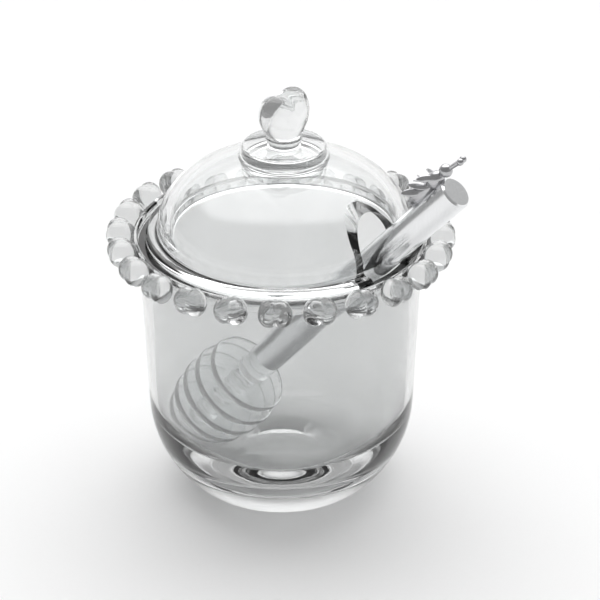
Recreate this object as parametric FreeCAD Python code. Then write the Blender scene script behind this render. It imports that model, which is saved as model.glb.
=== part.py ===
"""Pressed-glass honey pot with a ring of heart beads, a notched lid and a dipper.

Millimetres, +Z up, origin at the middle of the pot's foot. -Y is the front.
The pot and the lid are each one piece of pressed glass. The dipper is a steel
rod with a small bee on its outer end and a clear ringed head on its inner end.
"""
import FreeCAD
import Part
import math
import os

Vec = FreeCAD.Vector
Z_AXIS = Vec(0, 0, 1)

# ---- pot -----------------------------------------------------------------
FOOT_RADIUS = 24.9          # flat ring that the pot stands on
PUNT_RADIUS = 19.5          # hollow under the foot
PUNT_DEPTH = 1.6
HEEL_RADIUS = 11.8          # tight arc from the foot
HEEL_SWEEP = 43.3           # degrees of that arc
BELLY_RADIUS = 39.5         # wide arc up to the wall
WALL_LEAN = 88.7            # degrees, slope of the wall where the belly arc ends
MOUTH_RADIUS = 47.1         # outside of the wall under the rim
WALL_TOP = 83.0
RIM_RADIUS = 49.6           # outer edge of the rim between the hearts
RIM_UNDER = 89.2
RIM_TOP = 93.4
RIM_ROUND = 0.9
COLLAR_RADIUS = 47.6        # inner side of the raised collar round the lid
LEDGE_RADIUS = 43.4         # inner edge of the ledge that carries the lid
LEDGE_HEIGHT = 91.5
COLLAR_ROUND = 0.5
FLOOR_HEIGHT = 10.8
FLOOR_RADIUS = 18.0
BOWL_RADIUS = 24.6          # arc from the floor to the inner wall

# ---- hearts round the rim -------------------------------------------------
HEART_COUNT = 24
HEART_RING_RADIUS = 53.0
HEART_HEIGHT = 92.0         # height of the hearts' middle
HEART_PHASE = -1.45         # degrees from the front to the first heart
LOBE_SPREAD = 1.75          # lobe's middle from the heart's centre line
LOBE_TILT = 18.0            # degrees between a lobe and the centre line
LOBE_SEMI = (4.2, 3.7, 4.5)     # along the lobe, across it, up
LOBE_FORWARD = 0.9
TIP_SEMI = (3.4, 3.0, 3.6)
TIP_BACK = 1.4

# ---- lid -------------------------------------------------------------------
LID_SHIFT = 1.2             # the lid sits a little to the right in its seat
LID_RADIUS = 46.2
LID_EDGE = 3.2              # thickness of its flat edge
LID_ROUND = 0.6
DOME_RADIUS = 42.2
DOME_RISE = 24.8
DOME_SPRING = 96.2          # height where the dome's side stands upright
BELL_RADIUS = 38.0          # inside of the dome
BELL_RISE = 21.0
PAD_LIP_RADIUS = 15.0
PAD_LIP_HEIGHT = 121.4
PAD_RADIUS = 13.9
PAD_TOP = 125.2
PAD_ROUND = 0.8

# ---- notch in the lid ------------------------------------------------------
NOTCH_AZIMUTH = 50.0        # degrees from the front towards +X
NOTCH_WIDTH = 18.7
NOTCH_TOP = 111.0
NOTCH_INNER = 14.0          # how near to the middle the cut reaches

# ---- knob ------------------------------------------------------------------
KNOB_RING_RADIUS = 6.0
KNOB_RING_HEIGHT = 127.4
KNOB_NECK_RADIUS = 4.8
KNOB_TURN = 52.0            # degrees between the knob's width and +X
KNOB_LOBE_SPREAD = 3.0
KNOB_LOBE_TILT = 24.0
KNOB_LOBE_SEMI = (8.8, 5.9, 6.4)
KNOB_LOBE_HEIGHT = 135.2
KNOB_TIP_RADIUS = 5.2
KNOB_TIP_HEIGHT = 131.5

# ---- dipper ----------------------------------------------------------------
DIPPER_POINT = Vec(32.15, -25.1, 96.78)     # point of its axis in the notch
DIPPER_AZIMUTH = 64.2       # degrees from the front towards +X
DIPPER_RISE = 48.6          # degrees above level
ROD_RADIUS = 5.5
ROD_OUT = 38.8              # outer end, from the point in the notch
ROD_IN = 61.4               # inner end, the other way
ROD_BEVEL = 0.6
SLEEVE_LENGTH = 10.6        # clear sleeve under the rod
SLEEVE_TAPER = 1.2
NECK_RADIUS = 4.2
CORE_RADIUS = 4.6
DISC_PITCH = 7.2
DISC_THICKNESS = 2.6
DISC_RADII = (14.6, 16.0, 16.0, 14.8, 12.4)
DISC_FIRST = 12.2           # middle of the first disc from the rod's end
TIP_LENGTH = 2.4

# ---- bee on the rod's outer end: places are (along the rod from its end, above its axis)
BEE_ABDOMEN = (-10.2, 6.9)
BEE_ABDOMEN_SEMI = (6.4, 2.7, 2.5)      # along the rod, across it, above it
BEE_THORAX = (-2.8, 7.3)
BEE_THORAX_SEMI = (3.7, 2.7, 2.6)
BEE_HEAD = (2.4, 7.2)
BEE_HEAD_RADIUS = 2.2
BEE_FEELER_END = (9.2, 6.3)
BEE_FEELER_RADIUS = 0.7
BEE_FEELER_TIP = 1.15
BEE_FEELER_SPREAD = 1.1
# each wing: root, tip, half width, distance of its tip from the middle
BEE_WINGS = (
    ((-2.1, 8.2), (-5.0, 10.9), 1.1, 3.8),
    ((-6.1, 7.4), (-8.8, 11.4), 1.3, 3.4),
    ((-8.5, 7.0), (-12.2, 10.8), 1.3, 4.6),
)
BEE_WING_ROOT_SPREAD = 1.5
BEE_WING_THICKNESS = 0.9
BEE_WING_REACH = 0.6        # past its root and its tip


class Outline:
    """A half-section in the (radius, height) plane, drawn point by point."""

    def __init__(self, r, z):
        self.here = Vec(r, 0, z)
        self.edges = []

    def _add(self, curve, end):
        self.edges.append(curve.toShape())
        self.here = end

    def line(self, r, z):
        end = Vec(r, 0, z)
        self._add(Part.LineSegment(self.here, end), end)

    def through(self, mid_r, mid_z, r, z):
        """Arc to (r, z) that passes through the point between."""
        end = Vec(r, 0, z)
        self._add(Part.Arc(self.here, Vec(mid_r, 0, mid_z), end), end)

    def around(self, centre_r, centre_z, r, z):
        """Arc of under half a turn to (r, z) about a centre."""
        centre = Vec(centre_r, 0, centre_z)
        end = Vec(r, 0, z)
        half = ((self.here - centre) + (end - centre)).normalize()
        mid = centre + half * (end - centre).Length
        self._add(Part.Arc(self.here, mid, end), end)

    def dome(self, radius, rise, spring, r):
        """Arc to radius r of the ellipse that stands upright at the spring height."""
        centre = Vec(0, 0, spring)
        ellipse = Part.Ellipse(Vec(radius, 0, spring), Vec(0, 0, spring + rise), centre)
        first = ellipse.parameter(self.here)
        last = math.acos(min(1.0, r / radius))
        end = Vec(r, 0, spring + rise * math.sin(last))
        arc = Part.ArcOfEllipse(ellipse, min(first, last), max(first, last))
        self._add(arc, end)

    def solid(self):
        """Close the section and turn it once about the axis."""
        face = Part.Face(Part.Wire(Part.sortEdges(self.edges)[0]))
        return face.revolve(Vec(0, 0, 0), Z_AXIS, 360)


def ellipsoid(semi, middle, tilt_axis=Z_AXIS, tilt=0.0):
    """Ellipsoid with its half lengths, turned about its middle, then moved there."""
    scale = FreeCAD.Matrix()
    scale.scale(*semi)
    shape = Part.makeSphere(1.0).transformGeometry(scale)
    shape.rotate(Vec(0, 0, 0), tilt_axis, tilt)
    shape.translate(middle)
    return shape


def level(azimuth):
    """Level unit vector, in degrees from the front (-Y) towards +X."""
    angle = math.radians(azimuth)
    return Vec(math.sin(angle), -math.cos(angle), 0)


def pot_glass():
    """Foot, belly, wall, rim with its ledge, and the bowl inside."""
    sweep = math.radians(HEEL_SWEEP)
    lean = math.radians(WALL_LEAN)
    heel_r = FOOT_RADIUS + HEEL_RADIUS * math.sin(sweep)
    heel_z = HEEL_RADIUS - HEEL_RADIUS * math.cos(sweep)
    belly_r = heel_r - BELLY_RADIUS * math.sin(sweep)
    belly_z = heel_z + BELLY_RADIUS * math.cos(sweep)
    punt_ball = (PUNT_RADIUS ** 2 + PUNT_DEPTH ** 2) / (2 * PUNT_DEPTH)
    cove = RIM_RADIUS - RIM_ROUND - MOUTH_RADIUS
    edge = COLLAR_ROUND

    section = Outline(0, PUNT_DEPTH)
    section.around(0, PUNT_DEPTH - punt_ball, PUNT_RADIUS, 0)
    section.line(FOOT_RADIUS, 0)
    section.around(FOOT_RADIUS, HEEL_RADIUS, heel_r, heel_z)
    section.around(belly_r, belly_z, belly_r + BELLY_RADIUS * math.sin(lean),
                   belly_z - BELLY_RADIUS * math.cos(lean))
    section.line(MOUTH_RADIUS, WALL_TOP)
    section.line(MOUTH_RADIUS, RIM_UNDER - cove)
    section.around(MOUTH_RADIUS + cove, RIM_UNDER - cove, MOUTH_RADIUS + cove, RIM_UNDER)
    section.through(RIM_RADIUS, (RIM_UNDER + RIM_TOP) / 2, RIM_RADIUS - RIM_ROUND, RIM_TOP)
    section.line(COLLAR_RADIUS + edge, RIM_TOP)
    section.around(COLLAR_RADIUS + edge, RIM_TOP - edge, COLLAR_RADIUS, RIM_TOP - edge)
    section.line(COLLAR_RADIUS, LEDGE_HEIGHT)
    section.line(LEDGE_RADIUS + edge, LEDGE_HEIGHT)
    section.around(LEDGE_RADIUS + edge, LEDGE_HEIGHT - edge, LEDGE_RADIUS, LEDGE_HEIGHT - edge)
    section.line(FLOOR_RADIUS + BOWL_RADIUS, FLOOR_HEIGHT + BOWL_RADIUS)
    section.around(FLOOR_RADIUS, FLOOR_HEIGHT + BOWL_RADIUS, FLOOR_RADIUS, FLOOR_HEIGHT)
    section.line(0, FLOOR_HEIGHT)
    section.line(0, PUNT_DEPTH)
    return section.solid()


def heart_bead():
    """One plump heart lying flat: its lobes point to +X and its tip to -X."""
    tip = ellipsoid(TIP_SEMI, Vec(-TIP_BACK, 0, 0))
    lobes = [ellipsoid(LOBE_SEMI, Vec(LOBE_FORWARD, side * LOBE_SPREAD, 0), Z_AXIS, side * LOBE_TILT)
             for side in (-1, 1)]
    return tip.multiFuse(lobes)


def pot():
    """The pot's glass with all its hearts, as one piece."""
    bead = heart_bead()
    hearts = []
    for number in range(HEART_COUNT):
        azimuth = HEART_PHASE + number * 360.0 / HEART_COUNT
        heart = bead.copy()
        heart.rotate(Vec(0, 0, 0), Z_AXIS, azimuth - 90)
        heart.translate(level(azimuth) * HEART_RING_RADIUS + Vec(0, 0, HEART_HEIGHT))
        hearts.append(heart)
    return pot_glass().multiFuse(hearts)


def lid_glass():
    """Flat edge, dome, pad and knob ring."""
    top = LEDGE_HEIGHT + LID_EDGE
    fillet = DOME_SPRING - top
    edge = LID_ROUND
    lip = PAD_LIP_RADIUS - PAD_RADIUS
    pad_foot = PAD_LIP_RADIUS - lip / 2
    ring_bulge = KNOB_RING_RADIUS - KNOB_NECK_RADIUS

    section = Outline(0, DOME_SPRING + BELL_RISE)
    section.dome(BELL_RADIUS, BELL_RISE, DOME_SPRING, BELL_RADIUS)
    section.line(BELL_RADIUS, LEDGE_HEIGHT + edge)
    section.around(BELL_RADIUS + edge, LEDGE_HEIGHT + edge, BELL_RADIUS + edge, LEDGE_HEIGHT)
    section.line(LID_RADIUS - 2 * edge, LEDGE_HEIGHT)
    section.through(LID_RADIUS, LEDGE_HEIGHT + LID_EDGE / 2, LID_RADIUS - 2 * edge, top)
    section.line(DOME_RADIUS + fillet, top)
    section.around(DOME_RADIUS + fillet, DOME_SPRING, DOME_RADIUS, DOME_SPRING)
    section.dome(DOME_RADIUS, DOME_RISE, DOME_SPRING, pad_foot)
    section.line(pad_foot, PAD_LIP_HEIGHT - lip)
    section.through(PAD_LIP_RADIUS, PAD_LIP_HEIGHT - lip / 3, PAD_RADIUS, PAD_LIP_HEIGHT + lip / 2)
    section.line(PAD_RADIUS, PAD_TOP - PAD_ROUND)
    section.around(PAD_RADIUS - PAD_ROUND, PAD_TOP - PAD_ROUND, PAD_RADIUS - PAD_ROUND, PAD_TOP)
    section.line(KNOB_RING_RADIUS, PAD_TOP)
    section.around(KNOB_RING_RADIUS, PAD_TOP + ring_bulge, KNOB_NECK_RADIUS, PAD_TOP + ring_bulge)
    section.through(KNOB_RING_RADIUS, KNOB_RING_HEIGHT, KNOB_NECK_RADIUS, KNOB_RING_HEIGHT + ring_bulge)
    section.line(0, KNOB_RING_HEIGHT + ring_bulge)
    section.line(0, DOME_SPRING + BELL_RISE)
    return section.solid()


def notch_cutter():
    """Arch-shaped bar that cuts the dipper's way through the lid."""
    half = NOTCH_WIDTH / 2
    low = LEDGE_HEIGHT - LID_EDGE
    shoulder = NOTCH_TOP - half
    corners = [Vec(NOTCH_INNER, -half, low), Vec(NOTCH_INNER, half, low),
               Vec(NOTCH_INNER, half, shoulder), Vec(NOTCH_INNER, -half, shoulder)]
    arch = Part.Arc(corners[2], Vec(NOTCH_INNER, 0, NOTCH_TOP), corners[3])
    edges = [Part.LineSegment(corners[3], corners[0]).toShape(),
             Part.LineSegment(corners[0], corners[1]).toShape(),
             Part.LineSegment(corners[1], corners[2]).toShape(),
             arch.toShape()]
    bar = Part.Face(Part.Wire(edges)).extrude(Vec(LID_RADIUS + LID_EDGE - NOTCH_INNER, 0, 0))
    bar.rotate(Vec(0, 0, 0), Z_AXIS, NOTCH_AZIMUTH - 90)
    return bar


def knob_heart():
    """Upright heart on the knob ring, wide along +X before it is turned."""
    tip = ellipsoid((KNOB_TIP_RADIUS, KNOB_TIP_RADIUS, KNOB_TIP_RADIUS), Vec(0, 0, KNOB_TIP_HEIGHT))
    long_half, across, thick = KNOB_LOBE_SEMI
    lobes = [ellipsoid((across, thick, long_half),
                       Vec(side * KNOB_LOBE_SPREAD, 0, KNOB_LOBE_HEIGHT),
                       Vec(0, 1, 0), side * KNOB_LOBE_TILT)
             for side in (-1, 1)]
    heart = tip.multiFuse(lobes)
    heart.rotate(Vec(0, 0, 0), Z_AXIS, KNOB_TURN)
    return heart


def lid():
    """The lid with its notch and heart knob, as one piece."""
    glass = lid_glass().cut(notch_cutter()).fuse(knob_heart())
    glass.translate(Vec(LID_SHIFT, 0, 0))
    return glass


def along_dipper(shape):
    """Move a shape built along +Z, its top side to +X, onto the dipper's axis."""
    rise = math.radians(DIPPER_RISE)
    outward = level(DIPPER_AZIMUTH)
    axis = outward * math.cos(rise) + Z_AXIS * math.sin(rise)
    top = Z_AXIS * math.cos(rise) - outward * math.sin(rise)
    turn = FreeCAD.Rotation(top, axis.cross(top), axis, "ZXY")
    shape.Placement = FreeCAD.Placement(DIPPER_POINT, turn).multiply(shape.Placement)
    return shape


def dipper_rod():
    """Plain steel rod with bevelled ends."""
    section = Outline(0, -ROD_IN)
    section.line(ROD_RADIUS, -ROD_IN)
    section.line(ROD_RADIUS, ROD_OUT - ROD_BEVEL)
    section.line(ROD_RADIUS - ROD_BEVEL, ROD_OUT)
    section.line(0, ROD_OUT)
    section.line(0, -ROD_IN)
    return along_dipper(section.solid())


def dipper_head():
    """Clear sleeve, neck and a core with its discs, turned from one piece."""
    section = Outline(0, -ROD_IN)
    section.line(ROD_RADIUS, -ROD_IN)
    section.line(ROD_RADIUS, -ROD_IN - SLEEVE_LENGTH + SLEEVE_TAPER)
    section.line(NECK_RADIUS, -ROD_IN - SLEEVE_LENGTH)
    half = DISC_THICKNESS / 2
    for number, radius in enumerate(DISC_RADII):
        middle = -ROD_IN - DISC_FIRST - number * DISC_PITCH
        root = NECK_RADIUS if number == 0 else CORE_RADIUS
        section.line(root, middle + half)
        section.line(radius - half / 2, middle + half)
        section.through(radius, middle, radius - half / 2, middle - half)
        section.line(CORE_RADIUS, middle - half)
    end = -ROD_IN - DISC_FIRST - (len(DISC_RADII) - 1) * DISC_PITCH - half - TIP_LENGTH
    section.through(CORE_RADIUS * 0.85, end + TIP_LENGTH * 0.4, CORE_RADIUS * 0.5, end)
    section.line(0, end)
    section.line(0, -ROD_IN)
    return along_dipper(section.solid())


def bee_place(place, side=0.0):
    """Point above the rod, before it is laid on the dipper's axis."""
    along, above = place
    return Vec(above, side, ROD_OUT + along)


def limb(start, end, radius):
    """Round bar between two points."""
    return Part.makeCylinder(radius, (end - start).Length, start, end - start)


def bee():
    """Small plain bee that sits on the rod and reaches past its end."""
    def body(place, semi):
        along, across, above = semi
        return ellipsoid((above, across, along), bee_place(place))

    parts = [body(BEE_THORAX, BEE_THORAX_SEMI)]
    head = bee_place(BEE_HEAD)
    parts.append(Part.makeSphere(BEE_HEAD_RADIUS, head))
    for side in (-1, 1):
        feeler = bee_place(BEE_FEELER_END, side * BEE_FEELER_SPREAD)
        parts.append(limb(head, feeler, BEE_FEELER_RADIUS))
        parts.append(Part.makeSphere(BEE_FEELER_TIP, feeler))
        for root, tip, half_width, spread in BEE_WINGS:
            inner = bee_place(root, side * BEE_WING_ROOT_SPREAD)
            outer = bee_place(tip, side * spread)
            length = (outer - inner).Length
            wing = ellipsoid((BEE_WING_THICKNESS / 2, half_width, length / 2 + BEE_WING_REACH), Vec(0, 0, 0))
            wing.Placement = FreeCAD.Placement((inner + outer) * 0.5,
                                               FreeCAD.Rotation(Z_AXIS, outer - inner))
            parts.append(wing)
    shape = body(BEE_ABDOMEN, BEE_ABDOMEN_SEMI).multiFuse(parts)
    rod = Part.makeCylinder(ROD_RADIUS, ROD_IN + ROD_OUT, Vec(0, 0, -ROD_IN))
    return along_dipper(shape.cut(rod))


PIECES = {
    "pot": pot,
    "lid": lid,
    "dipper_rod": dipper_rod,
    "dipper_head": dipper_head,
    "bee": bee,
}

os.makedirs("parts", exist_ok=True)
for name, make in PIECES.items():
    piece = make()
    if len(piece.Solids) == 1:
        piece = piece.Solids[0]
    piece.exportStep("parts/" + name + ".step")
    box = piece.BoundBox
    print(name, len(piece.Solids), piece.isValid(), round(piece.Volume), len(piece.Faces),
          [round(v, 1) for v in (box.XMin, box.YMin, box.ZMin, box.XMax, box.YMax, box.ZMax)])
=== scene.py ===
"""Glass honey pot with heart beads, a notched lid and a dipper: its surfaces and its light.

Laid out as a Blender add-on and run as a script. Metres, +Z up, the front faces -Y.
"""

import math

import bmesh
import bpy
import numpy as np
from bpy.props import FloatProperty, FloatVectorProperty, IntProperty, PointerProperty, StringProperty
from mathutils import Matrix, Quaternion, Vector


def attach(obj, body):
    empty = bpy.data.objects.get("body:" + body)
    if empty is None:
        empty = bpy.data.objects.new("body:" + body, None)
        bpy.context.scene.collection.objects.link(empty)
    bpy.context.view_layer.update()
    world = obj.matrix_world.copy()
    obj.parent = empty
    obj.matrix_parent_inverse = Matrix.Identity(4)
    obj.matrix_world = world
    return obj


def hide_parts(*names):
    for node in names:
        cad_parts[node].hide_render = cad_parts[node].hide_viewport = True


bl_info = {
    "name": "Glass honey pot",
    "version": (1, 0, 0),
    "blender": (4, 5, 0),
    "location": "3D View > Sidebar > Honey pot",
    "description": "Makes the glass, steel and acrylic pieces of a honey pot with its dipper",
    "category": "Add Mesh",
}

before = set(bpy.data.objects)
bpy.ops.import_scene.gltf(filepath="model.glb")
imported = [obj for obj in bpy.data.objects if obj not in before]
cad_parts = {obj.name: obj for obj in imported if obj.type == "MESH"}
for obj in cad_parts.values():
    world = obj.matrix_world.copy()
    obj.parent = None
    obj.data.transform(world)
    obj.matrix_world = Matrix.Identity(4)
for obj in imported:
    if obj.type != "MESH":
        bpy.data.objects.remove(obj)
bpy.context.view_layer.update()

MM = 0.001
BODY = "root"
SHARP_EDGE = math.radians(38)       # a bend above this stays a crisp edge
HALVINGS = 40                       # far below a micrometre on a heart's size


def length(name, text, default):
    """A size in metres, given in millimetres, for the sidebar."""
    return FloatProperty(name=name, description=text, default=default * MM, unit="LENGTH",
                         precision=5, min=0.0)


def hexcode(name, text, default):
    """A colour as an sRGB hex code."""
    return StringProperty(name=name, description=text, default=default, maxlen=6)


# ---- sizes and colours -----------------------------------------------------

class PotSizes(bpy.types.PropertyGroup):
    """Sizes of the pot's glass."""
    foot: length("Foot", "Radius of the flat ring it stands on", 24.9)
    punt: length("Hollow", "Radius of the hollow under the foot", 19.5)
    punt_depth: length("Hollow depth", "Depth of the hollow under the foot", 1.6)
    heel: length("Heel", "Radius of the tight arc from the foot", 11.8)
    belly: length("Belly", "Radius of the wide arc up to the wall", 39.5)
    mouth: length("Mouth", "Outside radius of the wall under the rim", 47.1)
    rim: length("Rim", "Outer radius of the rim between the hearts", 49.6)
    rim_under: length("Rim underside", "Height of the rim's underside", 89.2)
    rim_top: length("Rim top", "Height of the rim's top", 93.4)
    collar: length("Collar", "Inner radius of the raised collar", 47.6)
    ledge: length("Ledge", "Inner radius of the ledge under the lid", 43.4)
    ledge_height: length("Ledge height", "Height of the ledge under the lid", 91.5)
    floor: length("Floor", "Height of the floor inside", 10.8)
    floor_flat: length("Flat floor", "Radius of the flat part of the floor", 18.0)
    bowl: length("Bowl", "Radius of the arc from the floor to the inner wall", 24.6)
    hearts: IntProperty(name="Hearts", description="Number of hearts round the rim", default=24, min=3)
    ring: length("Ring of hearts", "Radius of the ring through the hearts' middles", 53.0)
    heart_height: length("Heart height", "Height of the hearts' middles", 92.0)


class LidSizes(bpy.types.PropertyGroup):
    """Sizes of the lid's glass."""
    shift: length("Shift", "How far the lid sits to the right in its seat", 1.2)
    edge: length("Edge", "Outer radius of the flat edge", 46.2)
    edge_height: length("Edge height", "Thickness of the flat edge", 3.2)
    dome: length("Dome", "Outer radius of the dome", 42.2)
    rise: length("Rise", "Height of the dome over its spring line", 24.8)
    spring: length("Spring line", "Height where the dome's side stands upright", 96.2)
    bell: length("Bell", "Inner radius of the dome", 38.0)
    bell_rise: length("Bell rise", "Inner height of the dome over its spring line", 21.0)
    pad: length("Pad", "Radius of the round pad under the knob", 13.9)
    lip: length("Lip", "Radius of the lip round the pad's foot", 15.0)
    pad_top: length("Pad top", "Height of the pad's top", 125.2)
    notch_width: length("Notch", "Width of the dipper's notch", 18.7)
    notch_top: length("Notch top", "Height of the notch's arch", 111.0)
    notch_turn: FloatProperty(name="Notch turn", description="Notch's direction from the front",
                              default=math.radians(50.0), unit="ROTATION")


class DipperSizes(bpy.types.PropertyGroup):
    """Sizes and place of the dipper."""
    point: FloatVectorProperty(name="Point", description="Point of the axis in the notch", size=3,
                               default=(32.15 * MM, -25.1 * MM, 96.78 * MM), unit="LENGTH")
    turn: FloatProperty(name="Turn", description="Direction of the outer end from the front",
                        default=math.radians(64.2), unit="ROTATION")
    rise_angle: FloatProperty(name="Rise", description="Slope of the rod above level",
                              default=math.radians(48.6), unit="ROTATION")
    rod: length("Rod", "Radius of the steel rod", 5.5)
    outer: length("Outer end", "From the point in the notch to the rod's outer end", 38.8)
    inner: length("Inner end", "From the point in the notch to the rod's inner end", 61.4)
    sleeve: length("Sleeve", "Length of the clear sleeve", 10.6)
    neck: length("Neck", "Radius of the neck under the sleeve", 4.2)
    core: length("Core", "Radius of the core between the discs", 4.6)
    pitch: length("Pitch", "Distance from disc to disc", 7.2)
    disc: length("Disc", "Thickness of a disc", 2.6)


class Finishes(bpy.types.PropertyGroup):
    """Colours of the finishes, as sRGB hex codes."""
    # The pot's tint is partly the glass's own faint colour and partly painted shade: greyer than clear
    # glass, so the body renders grey.
    glass: hexcode("Pot glass", "Clear pressed glass of the pot", "E6E7E7")
    lid_glass: hexcode("Lid glass", "Clear pressed glass of the lid", "FAFBFB")
    acrylic: hexcode("Acrylic", "Clear acrylic of the dipper's head", "FDFEFE")
    steel: hexcode("Steel", "Polished stainless steel", "F0F1F2")
    plate: hexcode("Plated metal", "Bright plated zinc of the bee", "C4C4C6")
    backdrop: hexcode("Backdrop", "Paper under and behind the pot", "F7F7F7")


# ---- small tools -----------------------------------------------------------

def linear(code):
    """sRGB hex code to a linear colour with alpha 1."""
    values = [int(code[i:i + 2], 16) / 255 for i in (0, 2, 4)]
    values = [v / 12.92 if v <= 0.04045 else ((v + 0.055) / 1.055) ** 2.4 for v in values]
    return (*values, 1.0)


def level(turn):
    """Level unit vector at an angle from the front towards the right."""
    return Vector((math.sin(turn), -math.cos(turn), 0))


class Section:
    """Half-section of a turned piece in the (radius, height) plane."""

    def __init__(self, r, z):
        self.points = [(r, z)]

    def line(self, r, z, steps=1):
        """Straight run to (r, z)."""
        r0, z0 = self.points[-1]
        for i in range(1, steps + 1):
            t = i / steps
            self.points.append((r0 + (r - r0) * t, z0 + (z - z0) * t))

    def around(self, centre_r, centre_z, r, z, steps=8):
        """Arc of under half a turn to (r, z) about a centre."""
        r0, z0 = self.points[-1]
        radius = math.hypot(r0 - centre_r, z0 - centre_z)
        first = math.atan2(z0 - centre_z, r0 - centre_r)
        swing = math.atan2(z - centre_z, r - centre_r) - first
        swing = (swing + math.pi) % (2 * math.pi) - math.pi
        for i in range(1, steps):
            angle = first + swing * i / steps
            self.points.append((centre_r + radius * math.cos(angle), centre_z + radius * math.sin(angle)))
        self.points.append((r, z))

    def through(self, mid_r, mid_z, r, z, steps=4):
        """Arc to (r, z) that passes through the point between."""
        (ar, az), (br, bz), (cr, cz) = self.points[-1], (mid_r, mid_z), (r, z)
        double = 2 * (ar * (bz - cz) + br * (cz - az) + cr * (az - bz))
        a, b, c = ar * ar + az * az, br * br + bz * bz, cr * cr + cz * cz
        centre_r = (a * (bz - cz) + b * (cz - az) + c * (az - bz)) / double
        centre_z = (a * (cr - br) + b * (ar - cr) + c * (br - ar)) / double
        self.around(centre_r, centre_z, mid_r, mid_z, steps)
        self.around(centre_r, centre_z, r, z, steps)

    def dome(self, radius, rise, spring, r, steps=32):
        """Arc to radius r of the ellipse that stands upright at the spring height."""
        r0 = self.points[-1][0]
        first = math.acos(min(1.0, r0 / radius))
        last = math.acos(min(1.0, r / radius))
        for i in range(1, steps + 1):
            angle = first + (last - first) * i / steps
            self.points.append((radius * math.cos(angle), spring + rise * math.sin(angle)))


def spin(name, points, segments):
    """Turn a half-section once about the axis into a closed smooth mesh object."""
    mesh = bmesh.new()
    turns = [2 * math.pi * i / segments for i in range(segments)]
    rings = []
    for r, z in points:
        if r == 0:
            rings.append([mesh.verts.new((0, 0, z))])
        else:
            rings.append([mesh.verts.new((r * math.cos(a), r * math.sin(a), z)) for a in turns])
    for low, high in zip(rings, rings[1:]):
        for i in range(segments):
            j = (i + 1) % segments
            corners = [low[i % len(low)], low[j % len(low)], high[j % len(high)], high[i % len(high)]]
            unique = list(dict.fromkeys(corners))
            if len(unique) > 2:
                mesh.faces.new(unique)
    bmesh.ops.recalc_face_normals(mesh, faces=mesh.faces)
    data = bpy.data.meshes.new(name)
    mesh.to_mesh(data)
    mesh.free()
    return smooth_object(name, data)


def smooth_edges(data):
    """Smooth shading but for the sharp edges."""
    data.shade_smooth()
    data.set_sharp_from_angle(angle=SHARP_EDGE)


def smooth_object(name, data):
    """Link a mesh as an object, shaded smooth but for its sharp edges."""
    smooth_edges(data)
    piece = bpy.data.objects.new(name, data)
    bpy.context.scene.collection.objects.link(piece)
    return piece


def plump(name, lobes, softness, rings, sectors):
    """Closed surface round its middle that blends ellipsoids: (centre, half lengths, turn).

    The surface is found along rays from the middle by halving. A larger softness melts the
    ellipsoids together more.
    """
    polar = np.linspace(0, math.pi, rings + 1)[1:-1]
    round_angle = np.arange(sectors) * 2 * math.pi / sectors
    p, a = np.meshgrid(polar, round_angle, indexing="ij")
    rays = np.stack([np.sin(p) * np.cos(a), np.sin(p) * np.sin(a), np.cos(p)], -1).reshape(-1, 3)
    rays = np.vstack([[0, 0, 1], rays, [0, 0, -1]])

    def outside(reach):
        """Below zero inside the blended shape, for a point on each ray."""
        total = 0.0
        for centre, semi, turn in lobes:
            local = (rays * reach[:, None] - np.array(centre)) @ np.array(turn.to_matrix())
            depth = np.linalg.norm(local / np.array(semi), axis=1) - 1.0
            total = total + np.exp(-depth / softness)
        return -softness * np.log(total)

    low = np.zeros(len(rays))
    high = np.full(len(rays), 4.0 * max(max(semi) for _, semi, _ in lobes))
    for _ in range(HALVINGS):
        middle = (low + high) / 2
        inside = outside(middle) < 0
        low = np.where(inside, middle, low)
        high = np.where(inside, high, middle)
    points = rays * low[:, None]
    faces = []
    last = len(points) - 1
    for i in range(sectors):
        j = (i + 1) % sectors
        faces.append((0, 1 + i, 1 + j))
        faces.append((last, last - sectors + j, last - sectors + i))
        for k in range(rings - 2):
            row = 1 + k * sectors
            faces.append((row + i, row + sectors + i, row + sectors + j, row + j))
    data = bpy.data.meshes.new(name)
    data.from_pydata(points.tolist(), [], faces)
    return data


def combine(base, others, operation="UNION"):
    """Boolean the other objects into the base, bake the result and delete them."""
    group = bpy.data.collections.new("tools")
    for other in others:
        group.objects.link(other)
    step = base.modifiers.new("combine", "BOOLEAN")
    step.operation = operation
    step.operand_type = "COLLECTION"
    step.collection = group
    step.solver = "EXACT"
    step.use_self = False
    bpy.context.view_layer.update()
    data = bpy.data.meshes.new_from_object(base.evaluated_get(bpy.context.evaluated_depsgraph_get()))
    base.modifiers.clear()
    base.data = data
    for other in others:
        bpy.data.objects.remove(other)
    bpy.data.collections.remove(group)


def settle(piece, node, material):
    """Give a piece its material and its body, and hide the CAD node that it stands for."""
    piece.data.materials.clear()
    piece.data.materials.append(material)
    for face in piece.data.polygons:
        face.material_index = 0
    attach(piece, BODY)
    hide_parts(node)


# ---- materials -------------------------------------------------------------

POT_LOSS = 8.0                          # light lost per metre inside the glass or acrylic
LID_LOSS = 5.0
ACRYLIC_LOSS = 1.0
STEEL_LINES = 0.5 * MM                  # coarser than real polishing lines, so that they show
PAPER_GRAIN = 1.1 * MM                  # coarser than real fibres, which are too fine to show


def add_node(tree, kind, inputs=None, **settings):
    """Add a shader node, set its options, and set or link its inputs by name or number."""
    node = tree.nodes.new(kind)
    for key, value in settings.items():
        setattr(node, key, value)
    for key, value in (inputs or {}).items():
        if isinstance(value, bpy.types.NodeSocket):
            tree.links.new(value, node.inputs[key])
        else:
            node.inputs[key].default_value = value
    return node


def new_material(name):
    """Empty node material with its shader and output."""
    material = bpy.data.materials.new(name)
    material.use_nodes = True
    tree = material.node_tree
    tree.nodes.clear()
    shader = add_node(tree, "ShaderNodeBsdfPrincipled")
    add_node(tree, "ShaderNodeOutputMaterial", {"Surface": shader.outputs[0]})
    return material, tree, shader


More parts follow.
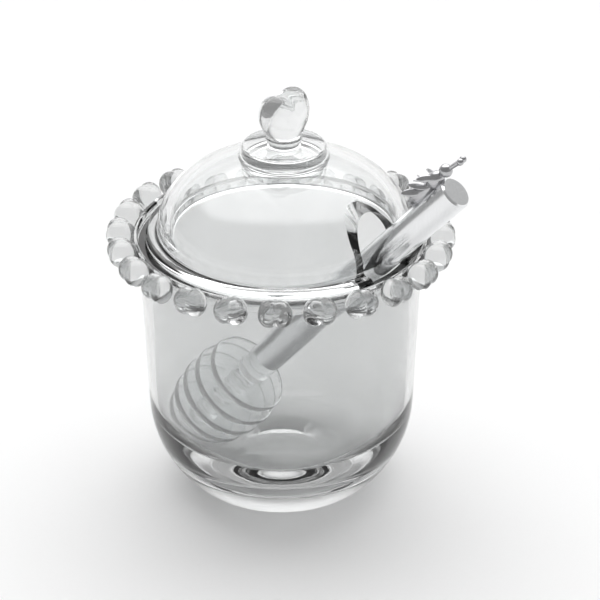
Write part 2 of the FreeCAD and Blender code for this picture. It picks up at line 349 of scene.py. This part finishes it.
def ripple(tree, size, height):
    """Bump from soft noise, with its size and height in metres."""
    place = add_node(tree, "ShaderNodeTexCoord")
    noise = add_node(tree, "ShaderNodeTexNoise", {
        "Vector": place.outputs["Object"], "Scale": 1 / size, "Detail": 1.5, "Roughness": 0.4})
    bump = add_node(tree, "ShaderNodeBump", {
        "Height": noise.outputs[0], "Distance": height, "Strength": 1.0})
    return noise, bump


def shaded_tint(tree, noise, code, depth=0.03):
    """Colour that drifts a little darker with the noise."""
    light = linear(code)
    dark = tuple(v * (1 - depth) for v in light[:3]) + (1.0,)
    ramp = add_node(tree, "ShaderNodeValToRGB", {0: noise.outputs[0]})
    ramp.color_ramp.elements[0].position = 0.3
    ramp.color_ramp.elements[0].color = dark
    ramp.color_ramp.elements[1].position = 0.7
    ramp.color_ramp.elements[1].color = light
    return ramp.outputs[0]


def through_glass(tree, shader, clear, absorbed):
    """Let lamps shine through, and darken long ways inside the glass by a loss per metre."""
    path = add_node(tree, "ShaderNodeLightPath")
    open_way = add_node(tree, "ShaderNodeBsdfTransparent", {"Color": (clear, clear, clear, 1)})
    mix = add_node(tree, "ShaderNodeMixShader", {
        0: path.outputs["Is Shadow Ray"], 1: shader.outputs[0], 2: open_way.outputs[0]})
    grey = add_node(tree, "ShaderNodeVolumeAbsorption", {
        "Color": (0.5, 0.5, 0.5, 1), "Density": 2 * absorbed})      # half grey takes half of this
    output = next(node for node in tree.nodes if node.type == "OUTPUT_MATERIAL")
    tree.links.new(mix.outputs[0], output.inputs["Surface"])
    tree.links.new(grey.outputs[0], output.inputs["Volume"])


def pressed_glass(name, code, absorbed):
    """Soda-lime glass, pressed and fire polished: slow ripples bend what is seen through it."""
    material, tree, shader = new_material(name)
    noise, bump = ripple(tree, 14 * MM, 0.03 * MM)
    tree.links.new(shaded_tint(tree, noise, code), shader.inputs["Base Color"])
    tree.links.new(bump.outputs[0], shader.inputs["Normal"])
    shader.inputs["IOR"].default_value = 1.52
    shader.inputs["Roughness"].default_value = 0.0
    shader.inputs["Transmission Weight"].default_value = 1.0
    through_glass(tree, shader, 0.9, absorbed)
    return material


def clear_acrylic(code):
    """Cast acrylic, turned and flame polished: its fine scratches scatter a little of the light."""
    material, tree, shader = new_material("clear_acrylic_turned")
    noise, bump = ripple(tree, 6 * MM, 0.02 * MM)
    tree.links.new(shaded_tint(tree, noise, code), shader.inputs["Base Color"])
    tree.links.new(bump.outputs[0], shader.inputs["Normal"])
    shader.inputs["IOR"].default_value = 1.49
    shader.inputs["Roughness"].default_value = 0.03
    shader.inputs["Transmission Weight"].default_value = 0.88
    through_glass(tree, shader, 0.95, ACRYLIC_LOSS)
    return material


def polished_steel(code, axis):
    """Stainless steel rod, drawn and polished: fine lines run along it and blur its reflections."""
    material, tree, shader = new_material("stainless_steel_polished")
    place = add_node(tree, "ShaderNodeTexCoord")
    turned = Vector((0, 0, 1)).rotation_difference(axis).inverted().to_euler()
    laid = add_node(tree, "ShaderNodeMapping", {
        "Vector": place.outputs["Object"], "Rotation": turned, "Scale": (1, 1, 0.02)})
    lines = add_node(tree, "ShaderNodeTexNoise", {
        "Vector": laid.outputs[0], "Scale": 1 / STEEL_LINES, "Detail": 3.0})
    bump = add_node(tree, "ShaderNodeBump", {
        "Height": lines.outputs[0], "Distance": 0.01 * MM, "Strength": 0.6})
    rough = add_node(tree, "ShaderNodeMapRange", {
        "Value": lines.outputs[0], "To Min": 0.12, "To Max": 0.24})
    tree.links.new(shaded_tint(tree, lines, code, 0.08), shader.inputs["Base Color"])
    tree.links.new(rough.outputs[0], shader.inputs["Roughness"])
    tree.links.new(bump.outputs[0], shader.inputs["Normal"])
    shader.inputs["Metallic"].default_value = 1.0
    return material


def plated_zinc(code):
    """Zinc casting with bright plating: slight unevenness breaks up its highlights."""
    material, tree, shader = new_material("zinc_cast_plated")
    noise, bump = ripple(tree, 1.6 * MM, 0.05 * MM)
    rough = add_node(tree, "ShaderNodeMapRange", {
        "Value": noise.outputs[0], "To Min": 0.14, "To Max": 0.3})
    tree.links.new(shaded_tint(tree, noise, code, 0.15), shader.inputs["Base Color"])
    tree.links.new(rough.outputs[0], shader.inputs["Roughness"])
    tree.links.new(bump.outputs[0], shader.inputs["Normal"])
    shader.inputs["Metallic"].default_value = 1.0
    return material


# ---- pieces ----------------------------------------------------------------

GLASS_STEPS = 256                       # faces round the pot and round the lid
ROD_STEPS = 96
HEAD_STEPS = 160
ARCH_STEPS = 48
HEEL_SWEEP = math.radians(43.3)         # turn of the tight arc above the foot
BELLY_END = math.radians(88.7)          # where the wide arc ends, nearly upright
WALL_TOP = 83.0 * MM                    # the wall leans out up to here, then stands upright
RIM_CORNER = 0.9 * MM
LEDGE_CORNER = 0.5 * MM
HEART_PHASE = math.radians(-1.45)       # from the front to the first heart
HEART_LOBES = [                         # middle, half lengths, turn about the upright
    ((-1.4, 0.0, 0.0), (3.4, 3.0, 3.6), 0.0),
    ((0.9, -1.75, 0.0), (4.2, 3.7, 4.5), -18.0),
    ((0.9, 1.75, 0.0), (4.2, 3.7, 4.5), 18.0),
]
HEART_SOFTNESS = 0.04
HEART_MESH = (32, 48)                   # rings and sectors
EDGE_CORNER = 0.6 * MM                  # the lid's flat edge, inside and out
LIP_HEIGHT = 121.4 * MM
PAD_CORNER = 0.8 * MM
RING = 6.0 * MM                         # the ring between the pad and the knob
RING_NECK = 4.8 * MM
RING_HEIGHT = 127.4 * MM
KNOB_TURN = math.radians(52.0)          # between the knob's width and the right
KNOB_MIDDLE = 135.0 * MM
KNOB_LOBES = [                          # middle, half lengths, turn about the knob's thickness
    ((0.0, 0.0, -3.5), (5.2, 5.2, 5.2), 0.0),
    ((-3.0, 0.0, 0.2), (5.9, 6.4, 8.8), -24.0),
    ((3.0, 0.0, 0.2), (5.9, 6.4, 8.8), 24.0),
]
KNOB_SOFTNESS = 0.12
KNOB_MESH = (64, 96)
NOTCH_START = 14.0 * MM                 # from the lid's axis, well inside the hollow of the dome
NOTCH_PAST = 3.0 * MM                   # how far the cutting bar runs past the glass
ROD_BEVEL = 0.6 * MM
HEAD_GAP = 0.02 * MM                    # hairline between the rod's end and the head
SLEEVE_TAPER = 1.2 * MM
DISC_RADII = (14.6, 16.0, 16.0, 14.8, 12.4)
DISC_FIRST = 12.2 * MM                  # from the rod's end to the first disc's middle
TIP = 2.4 * MM


def lobes_of(table, axis):
    """Lobe table in millimetres and degrees as lobes for plump."""
    return [([v * MM for v in middle], [v * MM for v in semi], Quaternion(axis, math.radians(turn)))
            for middle, semi, turn in table]


def pot_section(size):
    """Foot, belly, wall, rim with its ledge, and the bowl inside."""
    heel_r = size.foot + size.heel * math.sin(HEEL_SWEEP)
    heel_z = size.heel * (1 - math.cos(HEEL_SWEEP))
    belly_r = heel_r - size.belly * math.sin(HEEL_SWEEP)
    belly_z = heel_z + size.belly * math.cos(HEEL_SWEEP)
    punt_ball = (size.punt ** 2 + size.punt_depth ** 2) / (2 * size.punt_depth)
    cove = size.rim - RIM_CORNER - size.mouth
    collar = size.collar + LEDGE_CORNER
    ledge = size.ledge + LEDGE_CORNER
    section = Section(0, size.punt_depth)
    section.around(0, size.punt_depth - punt_ball, size.punt, 0, 6)
    section.line(size.foot, 0)
    section.around(size.foot, size.heel, heel_r, heel_z, 12)
    section.around(belly_r, belly_z, belly_r + size.belly * math.sin(BELLY_END),
                   belly_z - size.belly * math.cos(BELLY_END), 24)
    section.line(size.mouth, WALL_TOP, 4)
    section.line(size.mouth, size.rim_under - cove)
    section.around(size.mouth + cove, size.rim_under - cove, size.mouth + cove, size.rim_under, 5)
    section.through(size.rim, (size.rim_under + size.rim_top) / 2, size.rim - RIM_CORNER, size.rim_top)
    section.line(collar, size.rim_top)
    section.around(collar, size.rim_top - LEDGE_CORNER, size.collar, size.rim_top - LEDGE_CORNER, 4)
    section.line(size.collar, size.ledge_height)
    section.line(ledge, size.ledge_height)
    section.around(ledge, size.ledge_height - LEDGE_CORNER,
                   size.ledge, size.ledge_height - LEDGE_CORNER, 4)
    section.line(size.floor_flat + size.bowl, size.floor + size.bowl, 4)
    section.around(size.floor_flat, size.floor + size.bowl, size.floor_flat, size.floor, 24)
    section.line(0, size.floor, 2)
    return section.points


def lid_section(size, seat):
    """Flat edge, dome, pad and knob ring."""
    top = seat + size.edge_height
    fillet = size.spring - top
    bell = size.bell + EDGE_CORNER
    rim = size.edge - 2 * EDGE_CORNER
    lip = size.lip - size.pad
    pad_foot = size.lip - lip / 2
    pad = size.pad - PAD_CORNER
    waist = RING - RING_NECK
    section = Section(0, size.spring + size.bell_rise)
    section.dome(size.bell, size.bell_rise, size.spring, size.bell)
    section.line(size.bell, seat + EDGE_CORNER)
    section.around(bell, seat + EDGE_CORNER, bell, seat, 4)
    section.line(rim, seat)
    section.through(size.edge, seat + size.edge_height / 2, rim, top)
    section.line(size.dome + fillet, top)
    section.around(size.dome + fillet, size.spring, size.dome, size.spring, 5)
    section.dome(size.dome, size.rise, size.spring, pad_foot)
    section.line(pad_foot, LIP_HEIGHT - lip)
    section.through(size.lip, LIP_HEIGHT - lip / 3, size.pad, LIP_HEIGHT + lip / 2)
    section.line(size.pad, size.pad_top - PAD_CORNER)
    section.around(pad, size.pad_top - PAD_CORNER, pad, size.pad_top, 5)
    section.line(RING, size.pad_top)
    section.around(RING, size.pad_top + waist, RING_NECK, size.pad_top + waist, 5)
    section.through(RING, RING_HEIGHT, RING_NECK, RING_HEIGHT + waist)
    section.line(0, RING_HEIGHT + waist)
    return section.points


class HONEYPOT_OT_pot(bpy.types.Operator):
    """Make the pot's glass with its ring of hearts"""
    bl_idname = "honeypot.pot"
    bl_label = "Pot"

    def execute(self, context):
        size, finish = context.scene.honeypot_pot, context.scene.honeypot_finish
        glass = spin("pot_glass", pot_section(size), GLASS_STEPS)
        heart = plump("heart", lobes_of(HEART_LOBES, (0, 0, 1)), HEART_SOFTNESS, *HEART_MESH)
        hearts = []
        for number in range(size.hearts):
            turn = HEART_PHASE + number * 2 * math.pi / size.hearts
            middle = level(turn) * size.ring + Vector((0, 0, size.heart_height))
            data = heart.copy()
            data.transform(Matrix.Translation(middle) @ Matrix.Rotation(turn - math.pi / 2, 4, "Z"))
            hearts.append(smooth_object("heart", data))
        combine(glass, hearts)
        smooth_edges(glass.data)
        # The pot's material carries painted shade in its greyer tint, darker than the lid's nearly clear
        # glass.
        material = pressed_glass("soda_lime_glass_pot_painted_shade", finish.glass, POT_LOSS)
        settle(glass, "pot", material)
        return {"FINISHED"}


class HONEYPOT_OT_lid(bpy.types.Operator):
    """Make the lid with its notch and its heart knob"""
    bl_idname = "honeypot.lid"
    bl_label = "Lid"

    def execute(self, context):
        size, finish = context.scene.honeypot_lid, context.scene.honeypot_finish
        seat = context.scene.honeypot_pot.ledge_height
        glass = spin("lid_glass", lid_section(size, seat), GLASS_STEPS)
        knob = plump("knob", lobes_of(KNOB_LOBES, (0, 1, 0)), KNOB_SOFTNESS, *KNOB_MESH)
        knob.transform(Matrix.Translation((0, 0, KNOB_MIDDLE)) @ Matrix.Rotation(KNOB_TURN, 4, "Z"))
        combine(glass, [smooth_object("knob", knob)])
        combine(glass, [self.notch(size, seat)], "DIFFERENCE")
        glass.data.transform(Matrix.Translation((size.shift, 0, 0)))
        smooth_edges(glass.data)
        material = pressed_glass("soda_lime_glass_lid", finish.lid_glass, LID_LOSS)
        settle(glass, "lid", material)
        return {"FINISHED"}

    def notch(self, size, seat):
        """Arch-shaped bar that cuts the dipper's way through the lid."""
        half = size.notch_width / 2
        shoulder = size.notch_top - half
        near, far = NOTCH_START, size.edge + NOTCH_PAST
        outline = [(-half, seat - NOTCH_PAST), (half, seat - NOTCH_PAST)]
        outline += [(half * math.cos(a), shoulder + half * math.sin(a))
                    for a in (math.pi * i / ARCH_STEPS for i in range(ARCH_STEPS + 1))]
        count = len(outline)
        points = [(x, y, z) for x in (near, far) for y, z in outline]
        faces = [tuple(range(count)), tuple(range(2 * count - 1, count - 1, -1))]
        faces += [(i, count + i, count + (i + 1) % count, (i + 1) % count) for i in range(count)]
        data = bpy.data.meshes.new("notch")
        data.from_pydata(points, [], faces)
        data.transform(Matrix.Rotation(size.notch_turn - math.pi / 2, 4, "Z"))
        bar = smooth_object("notch", data)
        mesh = bmesh.new()
        mesh.from_mesh(data)
        bmesh.ops.recalc_face_normals(mesh, faces=mesh.faces)
        mesh.to_mesh(data)
        mesh.free()
        return bar


def dipper_axis(size):
    """Outward direction of the dipper's axis."""
    return level(size.turn) * math.cos(size.rise_angle) + Vector((0, 0, math.sin(size.rise_angle)))


def lay_on_axis(piece, size):
    """Move a mesh built along +Z onto the dipper's axis."""
    turn = Vector((0, 0, 1)).rotation_difference(dipper_axis(size)).to_matrix().to_4x4()
    piece.data.transform(Matrix.Translation(size.point) @ turn)


class HONEYPOT_OT_rod(bpy.types.Operator):
    """Make the steel rod of the dipper"""
    bl_idname = "honeypot.rod"
    bl_label = "Rod"

    def execute(self, context):
        size, finish = context.scene.honeypot_dipper, context.scene.honeypot_finish
        section = Section(0, -size.inner)
        section.line(size.rod, -size.inner, 2)
        section.line(size.rod, size.outer - ROD_BEVEL, 8)
        section.line(size.rod - ROD_BEVEL, size.outer)
        section.line(0, size.outer, 3)
        rod = spin("rod_steel", section.points, ROD_STEPS)
        lay_on_axis(rod, size)
        settle(rod, "dipper_rod", polished_steel(finish.steel, dipper_axis(size)))
        return {"FINISHED"}


class HONEYPOT_OT_head(bpy.types.Operator):
    """Make the clear head of the dipper with its discs"""
    bl_idname = "honeypot.head"
    bl_label = "Head"

    def execute(self, context):
        size, finish = context.scene.honeypot_dipper, context.scene.honeypot_finish
        start = -size.inner - HEAD_GAP
        half = size.disc / 2
        section = Section(0, start)
        section.line(size.rod, start, 2)
        section.line(size.rod, start - size.sleeve + SLEEVE_TAPER, 4)
        section.line(size.neck, -size.inner - size.sleeve)
        for number, millimetres in enumerate(DISC_RADII):
            radius = millimetres * MM
            middle = -size.inner - DISC_FIRST - number * size.pitch
            section.line(size.neck if number == 0 else size.core, middle + half)
            section.line(radius - half / 2, middle + half, 3)
            section.through(radius, middle, radius - half / 2, middle - half)
            section.line(size.core, middle - half, 3)
        end = -size.inner - DISC_FIRST - (len(DISC_RADII) - 1) * size.pitch - half - TIP
        section.through(size.core * 0.85, end + TIP * 0.4, size.core * 0.5, end)    # round tip
        section.line(0, end)
        head = spin("head_acrylic", section.points, HEAD_STEPS)
        lay_on_axis(head, size)
        settle(head, "dipper_head", clear_acrylic(finish.acrylic))
        return {"FINISHED"}


class HONEYPOT_OT_bee(bpy.types.Operator):
    """Dress the bee in plated metal"""
    bl_idname = "honeypot.bee"
    bl_label = "Bee"

    def execute(self, context):
        bee = bpy.data.objects["bee"]
        smooth_edges(bee.data)
        material = plated_zinc(context.scene.honeypot_finish.plate)
        for index in range(len(bee.material_slots)):
            bee.material_slots[index].material = material
        return {"FINISHED"}


# ---- stage -----------------------------------------------------------------

SOFTBOX_RISE = math.radians(62)         # the big softbox: its direction, its edge and its level
SOFTBOX_INNER = math.radians(26)
SOFTBOX_OUTER = math.radians(38)
SOFTBOX_NARROWING = 0.7                 # sideways, so the softbox comes out wider than it is high
SOFTBOX_LEVEL = 2.4                     # over the tent's own level
TENT_FRONT, TENT_BACK = 0.45, 0.85      # how far back a direction points where the tent brightens
FRONT_LEVEL, BACK_LEVEL = 0.45, 1.3
LAMP_PLACE = (0, 0.45, 1.2)
LAMP_TARGET = (0, 0, 0.06)
LAMP_WIDTH = 1.0
LAMP_POWER = 1.0
CAMERA_PLACE = (0.0064, -0.6990, 0.4561)
CAMERA_TILT = math.radians(60.9)
CAMERA_LENS = 142.1                     # in millimetres, on a sensor 36 mm wide
FLOOR_HALF = 6.0
FLOOR_DROP = 0.05 * MM                  # keeps the paper off the foot
GLASS_BOUNCES = 48                      # light turns many times inside the thick base
MIRROR_BOUNCES = 12


class HONEYPOT_OT_stage(bpy.types.Operator):
    """Set the floor, the lamp, the sky and the camera"""
    bl_idname = "honeypot.stage"
    bl_label = "Stage"

    def execute(self, context):
        self.floor(context)
        self.lamp(context)
        self.sky(context)
        self.camera(context)
        context.scene.view_settings.view_transform = "Standard"
        context.scene.cycles.max_bounces = GLASS_BOUNCES
        context.scene.cycles.transmission_bounces = GLASS_BOUNCES
        context.scene.cycles.glossy_bounces = MIRROR_BOUNCES
        return {"FINISHED"}

    def floor(self, context):
        """Matt paper, far wider than the picture."""
        data = bpy.data.meshes.new("floor")
        corners = [(x * FLOOR_HALF, y * FLOOR_HALF, -FLOOR_DROP)
                   for x, y in ((-1, -1), (1, -1), (1, 1), (-1, 1))]
        data.from_pydata(corners, [], [(0, 1, 2, 3)])
        floor = bpy.data.objects.new("floor", data)
        context.scene.collection.objects.link(floor)
        material, tree, shader = new_material("paper_matt")
        place = add_node(tree, "ShaderNodeTexCoord")
        noise = add_node(tree, "ShaderNodeTexNoise", {
            "Vector": place.outputs["Object"], "Scale": 1 / PAPER_GRAIN})
        tint = shaded_tint(tree, noise, context.scene.honeypot_finish.backdrop, 0.01)
        tree.links.new(tint, shader.inputs["Base Color"])
        shader.inputs["Roughness"].default_value = 0.9
        shader.inputs["Specular IOR Level"].default_value = 0.1
        data.materials.append(material)

    def lamp(self, context):
        """Square soft lamp over the pot, turned to its middle."""
        data = bpy.data.lights.new("softbox_above", "AREA")
        data.size, data.energy = LAMP_WIDTH, LAMP_POWER
        lamp = bpy.data.objects.new("softbox_above", data)
        lamp.location = LAMP_PLACE
        aim = Vector(LAMP_TARGET) - Vector(LAMP_PLACE)
        lamp.rotation_euler = aim.to_track_quat("-Z", "Y").to_euler()
        context.scene.collection.objects.link(lamp)

    def sky(self, context):
        """Tent, light behind and dim in front, with one wide round softbox over and behind the pot."""
        world = bpy.data.worlds.new("sky")
        context.scene.world = world
        world.use_nodes = True
        tree = world.node_tree
        tree.nodes.clear()
        place = add_node(tree, "ShaderNodeTexCoord")
        aim = Vector((0.0, math.cos(SOFTBOX_RISE), math.sin(SOFTBOX_RISE)))
        narrowed = add_node(tree, "ShaderNodeVectorMath", {
            0: place.outputs["Generated"], 1: (SOFTBOX_NARROWING, 1, 1)}, operation="MULTIPLY")
        unit = add_node(tree, "ShaderNodeVectorMath", {0: narrowed.outputs[0]}, operation="NORMALIZE")
        near = add_node(tree, "ShaderNodeVectorMath", {0: unit.outputs[0], 1: aim},
                        operation="DOT_PRODUCT")
        softbox = add_node(tree, "ShaderNodeMapRange", {
            "Value": near.outputs["Value"], "From Min": math.cos(SOFTBOX_OUTER),
            "From Max": math.cos(SOFTBOX_INNER), "To Min": 0.0, "To Max": SOFTBOX_LEVEL},
            interpolation_type="SMOOTHSTEP")
        split = add_node(tree, "ShaderNodeSeparateXYZ", {"Vector": place.outputs["Generated"]})
        tent = add_node(tree, "ShaderNodeMapRange", {
            "Value": split.outputs["Y"], "From Min": TENT_FRONT, "From Max": TENT_BACK,
            "To Min": FRONT_LEVEL, "To Max": BACK_LEVEL}, interpolation_type="SMOOTHSTEP")
        level_of = add_node(tree, "ShaderNodeMath", {0: softbox.outputs[0], 1: tent.outputs[0]},
                            operation="ADD")
        back = add_node(tree, "ShaderNodeBackground", {"Strength": level_of.outputs[0]})
        add_node(tree, "ShaderNodeOutputWorld", {"Surface": back.outputs[0]})

    def camera(self, context):
        """Long lens, from the front and above."""
        data = bpy.data.cameras.new("camera")
        data.sensor_width, data.lens = 36.0, CAMERA_LENS
        data.clip_start, data.clip_end = 0.01, 50.0
        camera = bpy.data.objects.new("camera", data)
        camera.location = CAMERA_PLACE
        camera.rotation_euler = (CAMERA_TILT, 0, 0)
        context.scene.collection.objects.link(camera)
        context.scene.camera = camera


class HONEYPOT_PT_panel(bpy.types.Panel):
    """Sizes, colours and makers of the honey pot"""
    bl_label = "Honey pot"
    bl_idname = "HONEYPOT_PT_panel"
    bl_space_type = "VIEW_3D"
    bl_region_type = "UI"
    bl_category = "Honey pot"

    def draw(self, context):
        for name, kind in GROUPS.items():
            box = self.layout.box()
            group = getattr(context.scene, name)
            for field in kind.__annotations__:
                box.prop(group, field)
        for maker in MAKERS:
            self.layout.operator(maker.bl_idname)


GROUPS = {
    "honeypot_pot": PotSizes,
    "honeypot_lid": LidSizes,
    "honeypot_dipper": DipperSizes,
    "honeypot_finish": Finishes,
}
MAKERS = (HONEYPOT_OT_pot, HONEYPOT_OT_lid, HONEYPOT_OT_rod, HONEYPOT_OT_head, HONEYPOT_OT_bee,
          HONEYPOT_OT_stage)


def register():
    for kind in (*GROUPS.values(), *MAKERS, HONEYPOT_PT_panel):
        bpy.utils.register_class(kind)
    for name, kind in GROUPS.items():
        setattr(bpy.types.Scene, name, PointerProperty(type=kind))


def unregister():
    for name in GROUPS:
        delattr(bpy.types.Scene, name)
    for kind in reversed((*GROUPS.values(), *MAKERS, HONEYPOT_PT_panel)):
        bpy.utils.unregister_class(kind)


def main():
    """Register the sizes and makers, then make every piece and the stage."""
    register()
    bpy.ops.honeypot.pot()
    bpy.ops.honeypot.lid()
    bpy.ops.honeypot.rod()
    bpy.ops.honeypot.head()
    bpy.ops.honeypot.bee()
    bpy.ops.honeypot.stage()


if __name__ == "__main__":
    main()
